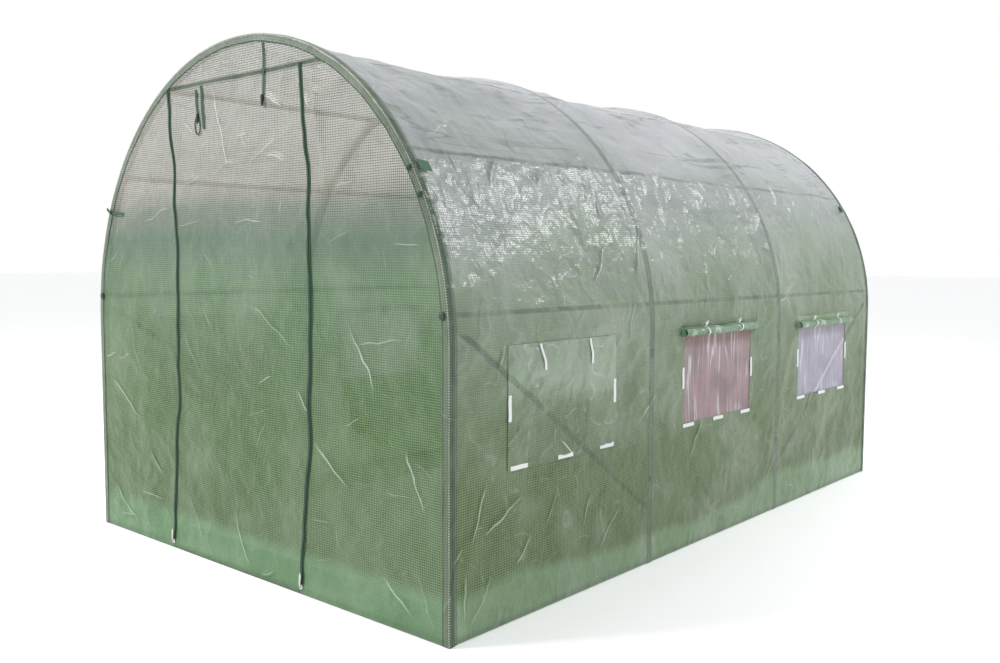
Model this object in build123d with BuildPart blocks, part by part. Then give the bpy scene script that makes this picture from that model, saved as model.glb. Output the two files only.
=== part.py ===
from build123d import *
import math
import os

os.makedirs("parts", exist_ok=True)

# A garden polytunnel: four tube hoops on straight legs, joined by ground rails, mid rails
# and roof purlins, under a close-fitting film cover with a zipped door and roll-up windows.
# Millimetres. Z is up from the ground, the door end faces -Y, and X runs across the tunnel.

# Driving sizes of the frame
hoop_radius = 981.0        # centre line of the arch, and half the distance between the legs
leg_height = 853.0         # ground to where the arch starts to bend
bay_length = 1030.0        # from hoop to hoop
bay_count = 3
hoop_tube = 25.0           # outside of the hoop and ground tubes
rail_tube = 19.0           # outside of the mid rails, purlins and header bars
brace_tube = 16.0
tube_sides = 8             # every tube of this open frame is drawn with few flat sides
fitting_wall = 2.0         # wall of every socket and sleeve
fit_gap = 0.3              # clearance between pieces that seat in or on each other
socket_depth = 42.0        # how far a tube goes into a fitting
sleeve_length = 40.0       # the part of a fitting that slides on the hoop
splice_drop = 83.0         # spring line down to where the arch tube stands on the leg tube
mid_rail_angle = 5.5       # degrees up the arch from its spring line
shoulder_angle = 35.0
upper_angle = 62.0
header_setback = 52.0      # middle of the upper fitting to the end of the header bar
bore_turn = 5.0            # degrees of the arch kept clear of the header bar's socket

# Driving sizes of the braces
brace_rise = 43.0          # spring line up to the upper end of a brace
brace_foot = 222.0
clamp_length = 26.0
lug_reach = 34.0           # leg axis to the end of a brace
lug_plate = 3.0
lug_width = 18.0
tab_length = 34.0          # flattened end of a brace

# Driving sizes of the cover
film = 1.5
side_skirt = 290.0         # film tucked in over the ground along the sides
end_skirt = 200.0          # and across the two ends
binding_width = 34.0
door_inset = 68.5          # upper fitting to the middle of the zip below it
zip_tape = 18.0
zip_teeth = 6.0
zip_tape_thickness = 1.0
zip_height = 2.0
zip_foot = 28.0
pull_length = 38.0
pull_width = 9.0
pull_thickness = 2.5

# Driving sizes of the windows
window_gather = 20.0       # windows are set closer together than the bays, towards the door
window_width = 535.0
window_drop = 18.0         # spring line down to the upper edge of a window
window_height = 350.0
flap_overlap = 15.0
flap_thickness = 1.0
mesh_thickness = 1.0
mesh_overlap = 14.0
roll_radius = 15.0
roll_length = 600.0
roll_sides = 12
strip_width = 14.0
strip_length = 80.0
strip_thickness = 0.8
tie_width = 10.0
tie_thickness = 0.8
tie_drop = 80.0
tie_spacing = 270.0

# Driving sizes of the straps at the door
strap_width = 14.0
strap_thickness = 1.2
strap_offset = 200.0       # middle of the door to each strap
long_strap = 180.0
short_strap = 118.0
toggle_radius = 5.0
toggle_length = 34.0

# Sizes that follow from them
hoop_r = hoop_tube / 2
rail_r = rail_tube / 2
brace_r = brace_tube / 2
hoop_bore = hoop_r + fit_gap
rail_bore = rail_r + fit_gap
sleeve_r = hoop_bore + fitting_wall
stub_r = rail_bore + fitting_wall
bend = hoop_radius - math.sqrt(hoop_radius ** 2 - (sleeve_length / 2) ** 2)  # of the hoop in a sleeve
film_in = math.hypot(hoop_radius + sleeve_r, sleeve_length / 2) + fit_gap
film_out = film_in + film
film_reach = film_in - hoop_radius               # hoop centre line to the inside of the film
ground_z = film + fit_gap + sleeve_r             # centre line of the ground tubes
front_reach = film_reach + film + fit_gap + strap_thickness + fit_gap + 2 * toggle_radius
rear_reach = film_reach + film
centre_shift = (front_reach - rear_reach) / 2    # keeps the origin midway between both ends
hoop_y = [(i - bay_count / 2) * bay_length + centre_shift for i in range(bay_count + 1)]
cover_front = hoop_y[0] - film_reach
cover_rear = hoop_y[-1] + film_reach
front_face = cover_front - film
rear_face = cover_rear + film
cover_length = cover_rear - cover_front
cover_middle = (cover_front + cover_rear) / 2
splice_height = leg_height - splice_drop
brace_top = leg_height + brace_rise
window_head = leg_height - window_drop
window_sill = window_head - window_height
header_z = leg_height + hoop_radius * math.sin(math.radians(upper_angle))
header_x = hoop_radius * math.cos(math.radians(upper_angle))
door_half = header_x - door_inset
window_y = [(hoop_y[i] + hoop_y[i + 1]) / 2 - i * window_gather for i in range(bay_count)]
tube_start = sleeve_r + fit_gap                  # middle of a fitting to the end of a tube in it


def save(builder, name):
    builder.part.label = name
    export_step(builder.part, f"parts/{name}.step")


def on_arch(angle, y):
    """The point of the hoop's centre line at an angle from the right-hand spring line."""
    turn = math.radians(angle)
    return Vector(hoop_radius * math.cos(turn), y, leg_height + hoop_radius * math.sin(turn))


def across_arch(angle, y):
    """A plane square to the hoop's centre line at that angle."""
    turn = math.radians(angle)
    return Plane(origin=on_arch(angle, y), x_dir=(0, 1, 0), z_dir=(-math.sin(turn), 0, math.cos(turn)))


def front_view(y):
    """A plane facing the door end, with X to the right and Z up."""
    return Plane.XZ.offset(-y)


# Legs, from the ground fittings up to the arch tubes
for side, name in ((-1, "left_legs"), (1, "right_legs")):
    with BuildPart() as legs:
        leg_bottom = ground_z + tube_start
        with BuildSketch(Plane.XY.offset(leg_bottom)):
            with Locations([(side * hoop_radius, y) for y in hoop_y]):
                RegularPolygon(hoop_r, tube_sides)
        extrude(amount=splice_height - leg_bottom)
    save(legs, name)

# Arches: a short straight end on each leg, and the half circle between them
for y, name in zip(hoop_y, ("front_arch", "second_arch", "third_arch", "rear_arch")):
    with BuildPart() as arch:
        with BuildLine(front_view(y)):
            Line((hoop_radius, splice_height), (hoop_radius, leg_height))
            CenterArc((0, leg_height), hoop_radius, 0, 180)
            Line((-hoop_radius, leg_height), (-hoop_radius, splice_height))
        with BuildSketch(Plane.XY.offset(splice_height)):
            with Locations((hoop_radius, y)):
                RegularPolygon(hoop_r, tube_sides)
        sweep()
    save(arch, name)


def socket(plane, reach, outside, bore):
    """A tube socket that stands on a fitting's hub, with its mouth away from the hub."""
    with BuildPart() as arm:
        with BuildSketch(plane.offset(reach)):
            RegularPolygon(outside, tube_sides)
            RegularPolygon(bore, tube_sides, mode=Mode.SUBTRACT)
        extrude(amount=socket_depth)
    return arm.part


def ground_fitting(side, y, directions):
    """A block on the ground with a socket for the leg and one for each ground tube."""
    centre = Vector(side * hoop_radius, y, ground_z)
    with BuildPart() as fitting:
        with Locations(centre):
            Box(2 * sleeve_r, 2 * sleeve_r, 2 * sleeve_r)
        add(socket(Plane(origin=centre, x_dir=(1, 0, 0), z_dir=(0, 0, 1)), sleeve_r, sleeve_r, hoop_bore))
        for d in directions:
            add(socket(Plane(origin=centre, x_dir=(0, 0, 1), z_dir=d), sleeve_r, sleeve_r, hoop_bore))
    return fitting.part


# Corner fittings on the ground, one under each leg of the end hoops
with BuildPart() as base_corners:
    for side in (-1, 1):
        for y, inward in ((hoop_y[0], 1), (hoop_y[-1], -1)):
            add(ground_fitting(side, y, [(-side, 0, 0), (0, inward, 0)]))
save(base_corners, "base_corners")

# Tee fittings on the ground, under the legs of the inner hoops
with BuildPart() as base_tees:
    for side in (-1, 1):
        for y in hoop_y[1:-1]:
            add(ground_fitting(side, y, [(0, 1, 0), (0, -1, 0)]))
save(base_tees, "base_tees")

# Ground rails: one tube to a bay on both sides, and one across each end
with BuildPart() as base_rails:
    for y in hoop_y[:-1]:
        with BuildSketch(front_view(y + tube_start)):
            with Locations((-hoop_radius, ground_z), (hoop_radius, ground_z)):
                RegularPolygon(hoop_r, tube_sides)
        extrude(amount=-(bay_length - 2 * tube_start))
    with BuildSketch(Plane.YZ.offset(-hoop_radius + tube_start)):
        with Locations((hoop_y[0], ground_z), (hoop_y[-1], ground_z)):
            RegularPolygon(hoop_r, tube_sides)
    extrude(amount=2 * (hoop_radius - tube_start))
save(base_rails, "base_rails")

# Rails and purlins between the hoops, one tube to a bay on both sides
for angle, name in ((mid_rail_angle, "mid_rails"), (shoulder_angle, "shoulder_purlins"),
                    (upper_angle, "upper_purlins")):
    right = on_arch(angle, 0)
    with BuildPart() as rails:
        for y in hoop_y[:-1]:
            with BuildSketch(front_view(y + tube_start)):
                with Locations((-right.X, right.Z), (right.X, right.Z)):
                    RegularPolygon(rail_r, tube_sides)
            extrude(amount=-(bay_length - 2 * tube_start))
    save(rails, name)


def hoop_fitting(angle, y, directions, header_side=0):
    """A sleeve on the hoop, with a socket for each rail and, at a header bar, one for it."""
    middle = across_arch(angle, y)
    header = Plane(origin=middle.origin, x_dir=(0, 1, 0), z_dir=(header_side or 1, 0, 0))
    with BuildPart() as fitting:
        with BuildSketch(middle.offset(-sleeve_length / 2)):
            RegularPolygon(sleeve_r, tube_sides)
        extrude(amount=sleeve_length)
        for d in directions:
            with BuildSketch(Plane(origin=middle.origin, x_dir=(1, 0, 0), z_dir=(0, d, 0))):
                RegularPolygon(stub_r, tube_sides)
            extrude(amount=sleeve_r)
        if header_side:
            with BuildSketch(header):
                RegularPolygon(stub_r, tube_sides)
            extrude(amount=header_setback)
        with BuildSketch(middle.offset(-sleeve_length)):
            RegularPolygon(hoop_bore + bend, tube_sides)
        extrude(amount=2 * sleeve_length, mode=Mode.SUBTRACT)
        if header_side:
            with BuildSketch(across_arch(angle - bore_turn, y)):
                RegularPolygon(hoop_bore, tube_sides)
            revolve(axis=Axis((0, y, leg_height), (0, -1, 0)), revolution_arc=2 * bore_turn, mode=Mode.SUBTRACT)
        for d in directions:
            add(socket(Plane(origin=middle.origin, x_dir=(1, 0, 0), z_dir=(0, d, 0)), sleeve_r, stub_r, rail_bore))
        if header_side:
            add(socket(header, header_setback, stub_r, rail_bore))
    return fitting.part


fitting_angles = [a if side > 0 else 180 - a
                  for a in (mid_rail_angle, shoulder_angle, upper_angle) for side in (-1, 1)]
header_sides = {upper_angle: -1, 180 - upper_angle: 1}

# Fittings of the end hoops, where the two upper ones also hold the header bar
with BuildPart() as end_hoop_fittings:
    for y, inward in ((hoop_y[0], 1), (hoop_y[-1], -1)):
        for angle in fitting_angles:
            add(hoop_fitting(angle, y, [inward], header_sides.get(angle, 0)))
save(end_hoop_fittings, "end_hoop_fittings")

# Fittings of the inner hoops, with a socket to each side
with BuildPart() as inner_hoop_fittings:
    for y in hoop_y[1:-1]:
        for angle in fitting_angles:
            add(hoop_fitting(angle, y, [1, -1]))
save(inner_hoop_fittings, "inner_hoop_fittings")

# Header bars across both end hoops
with BuildPart() as header_bars:
    bar_half = header_x - header_setback - fit_gap
    with BuildSketch(Plane.YZ.offset(-bar_half)):
        with Locations((hoop_y[0], header_z), (hoop_y[-1], header_z)):
            RegularPolygon(rail_r, tube_sides)
    extrude(amount=2 * bar_half)
save(header_bars, "header_bars")

# Braces of the two end bays: from the mid rail at the end hoop down to the foot of the next,
# a tube with flattened ends that lie against the lugs of the clamps
brace_runs = [(hoop_y[0] + lug_reach, hoop_y[1] - lug_reach),
              (hoop_y[-1] - lug_reach, hoop_y[-2] + lug_reach)]
with BuildPart() as braces:
    for side in (-1, 1):
        for y_top, y_foot in brace_runs:
            top = Vector(side * hoop_radius, y_top, brace_top)
            foot = Vector(side * hoop_radius, y_foot, brace_foot)
            along = (foot - top).normalized()
            length = (foot - top).length
            face = Plane(origin=top, x_dir=along, z_dir=(side, 0, 0)).offset(fit_gap / 2)
            with BuildSketch(face):
                with Locations((length / 2, 0)):
                    Rectangle(length + lug_width, lug_width)
            extrude(amount=lug_plate)
            with BuildSketch(Plane(origin=top + along * tab_length, x_dir=(side, 0, 0), z_dir=along)):
                RegularPolygon(brace_r, tube_sides)
            extrude(amount=length - 2 * tab_length)
save(braces, "braces")


def hoop_length(side, y, z, radius, length):
    """A straight length along the hoop's line at a height, upright below the spring line."""
    angle = math.degrees(math.asin(max(z - leg_height, 0) / hoop_radius))
    middle = across_arch(angle if side > 0 else 180 - angle, y)
    middle.origin = (middle.origin.X, y, z)
    with BuildPart() as piece:
        with BuildSketch(middle.offset(-length / 2)):
            RegularPolygon(radius, tube_sides)
        extrude(amount=length)
    return piece.part


# Clamps that carry the braces: a ring on the hoop with a lug that points into the bay
with BuildPart() as brace_clamps:
    for side in (-1, 1):
        for y, z, reach in ((hoop_y[0], brace_top, 1), (hoop_y[1], brace_foot, -1),
                            (hoop_y[-2], brace_foot, 1), (hoop_y[-1], brace_top, -1)):
            with BuildPart(mode=Mode.PRIVATE) as clamp:
                add(hoop_length(side, y, z, sleeve_r, clamp_length))
                lug = Plane(origin=(side * hoop_radius, y, z), x_dir=(0, reach, 0), z_dir=(side, 0, 0))
                with BuildSketch(lug.offset(-fit_gap / 2)):
                    with Locations(((lug_reach + lug_width / 2) / 2, 0)):
                        Rectangle(lug_reach + lug_width / 2, lug_width)
                extrude(amount=-lug_plate)
                add(hoop_length(side, y, z, hoop_bore, 2 * clamp_length), mode=Mode.SUBTRACT)
            add(clamp.part)
save(brace_clamps, "brace_clamps")


def tunnel_outline(radius):
    """The end shape of the tunnel: upright sides and a half-round top."""
    with BuildSketch() as outline:
        with BuildLine():
            Line((radius, leg_height), (radius, 0))
            Line((radius, 0), (-radius, 0))
            Line((-radius, 0), (-radius, leg_height))
            CenterArc((0, leg_height), radius, 0, 180)
        make_face()
    return outline.sketch


# Side walls of the cover, with the window holes cut through
for side, name in ((-1, "left_wall_cover"), (1, "right_wall_cover")):
    with BuildPart() as wall_cover:
        with BuildSketch(Plane(origin=(side * film_in, 0, 0), x_dir=(0, 1, 0), z_dir=(1, 0, 0))):
            with Locations((cover_middle, leg_height / 2)):
                Rectangle(cover_length, leg_height)
            with Locations([(y, (window_sill + window_head) / 2) for y in window_y]):
                Rectangle(window_width, window_height, mode=Mode.SUBTRACT)
        extrude(amount=side * film)
    save(wall_cover, name)

# Roof of the cover, in five lengthways strips that meet over the purlins
roof_strips = {
    "right_eave_cover": (0, shoulder_angle),
    "right_roof_cover": (shoulder_angle, upper_angle),
    "ridge_cover": (upper_angle, 180 - upper_angle),
    "left_roof_cover": (180 - upper_angle, 180 - shoulder_angle),
    "left_eave_cover": (180 - shoulder_angle, 180),
}
for name, (start, end) in roof_strips.items():
    with BuildPart() as strip:
        with BuildSketch(front_view(cover_front)):
            with BuildLine():
                inner = CenterArc((0, leg_height), film_in, start, end - start)
                outer = CenterArc((0, leg_height), film_out, start, end - start)
                Line(inner @ 0, outer @ 0)
                Line(inner @ 1, outer @ 1)
            make_face()
        extrude(amount=-cover_length)
    save(strip, name)

# Door end: a panel each side of the door, the gable over it, and the door itself
for side, name in ((-1, "front_left_panel"), (1, "front_right_panel")):
    with BuildPart() as panel:
        with BuildSketch(front_view(cover_front)):
            add(tunnel_outline(film_out))
            with Locations((side * (door_half + film_out) / 2, header_z / 2)):
                Rectangle(film_out - door_half, header_z, mode=Mode.INTERSECT)
        extrude(amount=film)
    save(panel, name)

with BuildPart() as front_gable:
    with BuildSketch(front_view(cover_front)):
        add(tunnel_outline(film_out))
        with Locations((0, header_z + film_out / 2)):
            Rectangle(2 * film_out, film_out, mode=Mode.INTERSECT)
    extrude(amount=film)
save(front_gable, "front_gable")

with BuildPart() as door_flap:
    with BuildSketch(front_view(cover_front)):
        with Locations((0, (header_z - fit_gap) / 2)):
            Rectangle(2 * (door_half - fit_gap), header_z - fit_gap)
    extrude(amount=film)
save(door_flap, "door_flap")

# Rear end: one closed panel
with BuildPart() as rear_panel:
    with BuildSketch(front_view(rear_face)):
        add(tunnel_outline(film_out))
    extrude(amount=film)
save(rear_panel, "rear_panel")

# Skirts: the foot of the cover, tucked in under the ground rails on all four sides
with BuildPart() as ground_skirts:
    with BuildSketch():
        for side in (-1, 1):
            with Locations((side * (film_in - side_skirt / 2), cover_middle)):
                Rectangle(side_skirt, cover_length)
    extrude(amount=film)
    with BuildSketch():
        for edge, inward in ((cover_front, 1), (cover_rear, -1)):
            with Locations((0, edge + inward * end_skirt / 2)):
                Rectangle(2 * (film_in - side_skirt - fit_gap), end_skirt)
    extrude(amount=film)
save(ground_skirts, "ground_skirts")

# Bindings: the doubled edge of the cover over each end hoop
for edge, inward, name in ((front_face, 1, "front_binding"), (rear_face, -1, "rear_binding")):
    with BuildPart() as binding:
        with BuildSketch(front_view(edge)):
            add(tunnel_outline(film_out + fit_gap + film))
            add(tunnel_outline(film_out + fit_gap), mode=Mode.SUBTRACT)
        extrude(amount=-inward * binding_width)
    save(binding, name)

# Door zips: a tape with the teeth raised along its middle
zip_y = front_face - fit_gap
with BuildPart() as door_zips:
    for width, thickness in ((zip_tape, zip_tape_thickness), (zip_teeth, zip_height)):
        with BuildSketch(front_view(zip_y)):
            with Locations([(side * door_half, (zip_foot + header_z) / 2) for side in (-1, 1)]):
                Rectangle(width, header_z - zip_foot)
        extrude(amount=thickness)
save(door_zips, "door_zips")

# Zip pulls, hanging at the foot of each zip and wider towards their lower end
with BuildPart() as zip_pulls:
    with BuildSketch(front_view(zip_y - zip_height - fit_gap)):
        with Locations([(side * door_half, zip_foot + pull_length / 2) for side in (-1, 1)]):
            Trapezoid(pull_width, pull_length, 85)
    extrude(amount=pull_thickness)
save(zip_pulls, "zip_pulls")

# Straps that tie the rolled-up door: a long one on the right, a pair on the left
strap_top = header_z + binding_width
strap_rows = [(strap_offset, strap_top, long_strap), (-strap_offset, header_z, short_strap),
              (-strap_offset + 2 * strap_width, header_z, short_strap)]
with BuildPart() as door_straps:
    for x, top, length in strap_rows:
        with BuildSketch(front_view(zip_y)):
            with Locations((x, top - length / 2)):
                Rectangle(strap_width, length)
        extrude(amount=strap_thickness)
save(door_straps, "door_straps")

with BuildPart() as strap_toggles:
    for x, top, length in (strap_rows[0], strap_rows[1]):
        toggle_y = zip_y - strap_thickness - fit_gap - toggle_radius
        with BuildSketch(Plane.XY.offset(top - length)):
            with Locations((x, toggle_y)):
                RegularPolygon(toggle_radius, tube_sides)
        extrude(amount=toggle_length)
save(strap_toggles, "strap_toggles")

# Windows, the same on both sides: insect mesh inside each hole, the flap of the first bay
# let down, and the flaps of the other two bays rolled up over the hole
window_middle = (window_sill + window_head) / 2
flap_x = film_out + fit_gap
for side, name in ((-1, "left"), (1, "right")):
    wall = Plane(origin=(0, 0, 0), x_dir=(0, 1, 0), z_dir=(1, 0, 0))
    with BuildPart() as window_meshes:
        with BuildSketch(wall.offset(side * (film_in - fit_gap))):
            with Locations([(y, window_middle) for y in window_y]):
                Rectangle(window_width + 2 * mesh_overlap, window_height + 2 * mesh_overlap)
        extrude(amount=-side * mesh_thickness)
    save(window_meshes, f"{name}_window_meshes")

    with BuildPart() as window_flaps:
        with BuildSketch(wall.offset(side * flap_x)):
            with Locations((window_y[0], window_middle)):
                Rectangle(window_width + 2 * flap_overlap, window_height + 2 * flap_overlap)
        extrude(amount=side * flap_thickness)
        for y in window_y[1:]:
            with BuildSketch(front_view(y - roll_length / 2)):
                with Locations((side * (flap_x + roll_radius), window_head)):
                    RegularPolygon(roll_radius, roll_sides)
            extrude(amount=-roll_length)
    save(window_flaps, f"{name}_window_flaps")

# White ties: hanging in front of the let-down flap, and wrapped round each roll
with BuildPart() as window_ties:
    for side in (-1, 1):
        wall = Plane(origin=(0, 0, 0), x_dir=(0, 1, 0), z_dir=(1, 0, 0))
        flap_face = flap_x + flap_thickness + fit_gap
        with BuildSketch(wall.offset(side * flap_face)):
            with Locations([(window_y[0] + s * tie_spacing / 2, window_head - tie_drop / 2) for s in (-1, 1)]):
                Rectangle(tie_width, tie_drop)
        extrude(amount=side * tie_thickness)
        for y in window_y[1:]:
            for s in (-1, 1):
                with BuildSketch(front_view(y + s * tie_spacing / 2 - tie_width / 2)):
                    with Locations((side * (flap_x + roll_radius), window_head)):
                        RegularPolygon(roll_radius + fit_gap + tie_thickness, roll_sides)
                        RegularPolygon(roll_radius + fit_gap, roll_sides, mode=Mode.SUBTRACT)
                    with Locations((side * flap_x, window_head)):
                        Rectangle(2 * tie_width, 4 * roll_radius, mode=Mode.SUBTRACT)
                extrude(amount=-tie_width)
save(window_ties, "window_ties")

# Hook-and-loop strips beside and under each window hole; those of the first bay lie on
# the flap's edge, and those of the open windows lie on the wall
with BuildPart() as window_strips:
    for side in (-1, 1):
        for i, y in enumerate(window_y):
            face = flap_x if i else flap_x + flap_thickness + fit_gap
            reach_y = window_width / 2 + flap_overlap - strip_width / 2
            reach_z = window_sill - flap_overlap + strip_width / 2
            wall = Plane(origin=(side * face, 0, 0), x_dir=(0, 1, 0), z_dir=(1, 0, 0))
            with BuildSketch(wall):
                with Locations([(y + s * reach_y, window_middle) for s in (-1, 1)]):
                    Rectangle(strip_width, strip_length)
                with Locations([(y + s * window_width / 3, reach_z) for s in (-1, 0, 1)]):
                    Rectangle(strip_length, strip_width)
            extrude(amount=side * strip_thickness)
save(window_strips, "window_strips")
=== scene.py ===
import math

import bpy
import numpy as np
from mathutils import Matrix, Vector


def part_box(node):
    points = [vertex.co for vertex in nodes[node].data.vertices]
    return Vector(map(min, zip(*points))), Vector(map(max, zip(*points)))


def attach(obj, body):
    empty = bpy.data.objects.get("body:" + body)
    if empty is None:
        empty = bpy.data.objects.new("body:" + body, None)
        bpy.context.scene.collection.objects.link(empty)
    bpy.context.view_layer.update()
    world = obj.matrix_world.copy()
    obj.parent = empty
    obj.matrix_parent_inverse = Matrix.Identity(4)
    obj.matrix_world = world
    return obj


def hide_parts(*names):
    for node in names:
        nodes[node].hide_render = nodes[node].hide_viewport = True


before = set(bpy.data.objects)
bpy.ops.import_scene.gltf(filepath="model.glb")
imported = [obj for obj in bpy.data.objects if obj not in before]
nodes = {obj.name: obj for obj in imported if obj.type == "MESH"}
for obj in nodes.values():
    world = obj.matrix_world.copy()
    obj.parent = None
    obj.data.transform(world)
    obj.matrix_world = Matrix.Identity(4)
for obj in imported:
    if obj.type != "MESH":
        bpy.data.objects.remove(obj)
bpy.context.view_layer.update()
print("frame loaded:", len(nodes), "nodes")

cameraView = {"lens": 35.025, "place": (2.8677, -3.4925, 1.1113), "yaw": 0.7160, "pitch": -0.0761, "roll": 0.0044}


def addObject(name, data):
    made = bpy.data.objects.new(name, data)
    bpy.context.scene.collection.objects.link(made)
    return made


def addCamera(view):
    data = bpy.data.cameras.new("camera")
    data.lens = view["lens"]
    data.sensor_width = 36
    camera = addObject("camera", data)
    yaw, pitch, roll = view["yaw"], view["pitch"], view["roll"]
    ahead = Vector((-math.sin(yaw) * math.cos(pitch), math.cos(yaw) * math.cos(pitch), math.sin(pitch)))
    right = Vector((math.cos(yaw), math.sin(yaw), 0))
    up = right.cross(ahead)
    across = right * math.cos(roll) + up * math.sin(roll)
    top = up * math.cos(roll) - right * math.sin(roll)
    camera.matrix_world = Matrix((across, top, -ahead)).transposed().to_4x4()
    camera.location = view["place"]
    bpy.context.scene.camera = camera


addCamera(cameraView)


# Sizes read from the frame, in metres
def middle(node, axis):
    low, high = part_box(node)
    return (low[axis] + high[axis]) / 2


hoopNames = ("front_arch", "second_arch", "third_arch", "rear_arch")
hoopTube, railTube = 0.0125, 0.0095                   # radii
hoopY = [middle(name, 1) for name in hoopNames]
bay = hoopY[1] - hoopY[0]
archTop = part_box("front_arch")[1]
hoopR = archTop.x - hoopTube                          # centre line of the arch
springZ = archTop.z - hoopTube - hoopR
wallX = middle("right_wall_cover", 0)                 # middle of the film at the wall
coverY = [corner.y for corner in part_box("right_wall_cover")]
halfFilm = 0.0008
frontY, rearY = middle("door_flap", 1), middle("rear_panel", 1)
headerZ, groundZ = middle("header_bars", 2), middle("base_rails", 2)
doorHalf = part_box("door_zips")[1].x - 0.009
netLow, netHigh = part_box("right_window_meshes")
netSeam = 0.014
netEdges = sorted({round(v.co.y, 4) for v in nodes["right_window_meshes"].data.vertices})
windowY = [(a + b) / 2 for a, b in zip(netEdges[::2], netEdges[1::2])]
windowLow, windowHigh, windowHalf = netLow.z + netSeam, netHigh.z - netSeam, 0.2675
purlins = {"mid": math.radians(5.5), "shoulder": math.radians(35), "upper": math.radians(62)}
legMarks = {"splice": 0.770, "band": 0.314}           # heights on the legs
brace = {"top": 0.896, "foot": 0.222, "aside": 0.034}


# Small helpers for node trees
def feed(tree, node, takes):
    for key, value in takes.items():
        if isinstance(value, bpy.types.NodeSocket):
            tree.links.new(value, node.inputs[key])
        else:
            node.inputs[key].default_value = value


def put(tree, kind, takes=None, **settings):
    made = tree.nodes.new(kind)
    for key, value in settings.items():
        setattr(made, key, value)
    feed(tree, made, takes or {})
    return made


def calc(tree, operation, first, second=0.0, clamp=False):
    return put(tree, "ShaderNodeMath", {0: first, 1: second}, operation=operation, use_clamp=clamp).outputs[0]


def times(tree, first, second):
    return calc(tree, "MULTIPLY", first, second)


def plus(tree, first, second, clamp=False):
    return calc(tree, "ADD", first, second, clamp)


def minus(tree, first, second):
    return calc(tree, "SUBTRACT", first, second)


def larger(tree, first, second):
    return calc(tree, "MAXIMUM", first, second)


def apart(tree, first, second):
    return calc(tree, "ABSOLUTE", minus(tree, first, second))


def ease(tree, value, low, high, toLow=0.0, toHigh=1.0):
    takes = {"Value": value, "From Min": low, "From Max": high, "To Min": toLow, "To Max": toHigh}
    return put(tree, "ShaderNodeMapRange", takes, interpolation_type="SMOOTHSTEP").outputs[0]


def fadeOut(tree, value, low, high, strength=1.0):
    return ease(tree, value, low, high, strength, 0.0)


def lineAt(tree, value, centre, inner, outer, strength=1.0):
    return fadeOut(tree, apart(tree, value, centre), inner, outer, strength)


def blendColors(tree, share, first, second):
    return put(tree, "ShaderNodeMix", {0: share, 6: first, 7: second}, data_type="RGBA").outputs[2]


def tint(tree, color, mask, strength, value):
    return blendColors(tree, times(tree, mask, strength), color, value)


def cloudy(tree, vector, scale, detail=3.0, roughness=0.5, gives="Fac"):
    takes = {"Vector": vector, "Scale": scale, "Detail": detail, "Roughness": roughness}
    return put(tree, "ShaderNodeTexNoise", takes).outputs[gives]


def mapped(tree, vector, turn, scale):
    return put(tree, "ShaderNodeMapping", {"Vector": vector, "Rotation": (0, 0, turn), "Scale": scale}).outputs[0]


def axes(tree, vector):
    return put(tree, "ShaderNodeSeparateXYZ", {0: vector}).outputs


def flatCut(tree):
    return put(tree, "ShaderNodeUVMap", uv_map="flat").outputs[0]


def objectPlace(tree):
    return put(tree, "ShaderNodeTexCoord").outputs["Object"]


def newGroup(name, numbers, results):     # takes a vector and some numbers, gives numbers
    group = bpy.data.node_groups.new(name, "ShaderNodeTree")
    group.interface.new_socket(name="Vector", in_out="INPUT", socket_type="NodeSocketVector")
    for title, value in numbers.items():
        made = group.interface.new_socket(name=title, in_out="INPUT", socket_type="NodeSocketFloat")
        made.default_value = value
    for title in results:
        group.interface.new_socket(name=title, in_out="OUTPUT", socket_type="NodeSocketFloat")
    return group, put(group, "NodeGroupInput").outputs, put(group, "NodeGroupOutput")


def useGroup(tree, group, **values):
    return put(tree, "ShaderNodeGroup", values, node_tree=group).outputs


def newMaterial(name):
    material = bpy.data.materials.new(name)
    material.use_nodes = True
    return material, material.node_tree, material.node_tree.nodes["Principled BSDF"]


def bumpInto(tree, shader, height, strength, distance):
    bump = put(tree, "ShaderNodeBump", {"Strength": strength, "Distance": distance, "Height": height})
    feed(tree, shader, {"Normal": bump.outputs[0]})


# Woven threads in both directions of the flat cut
def threadGroup():
    group, takes, gives = newGroup("crossing threads", {"Pitch": 0.0076, "Thread": 0.3}, ("Threads", "Height"))
    half = times(group, takes["Thread"], 0.5)
    inner, outer = times(group, half, 0.5), times(group, half, 1.4)
    found = []
    for part in axes(group, takes["Vector"])[:2]:
        cell = calc(group, "FRACT", calc(group, "DIVIDE", part, takes["Pitch"]))
        found.append(fadeOut(group, minus(group, 0.5, apart(group, cell, 0.5)), inner, outer))
    feed(group, gives, {"Threads": larger(group, *found), "Height": plus(group, *found)})
    return group


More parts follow.
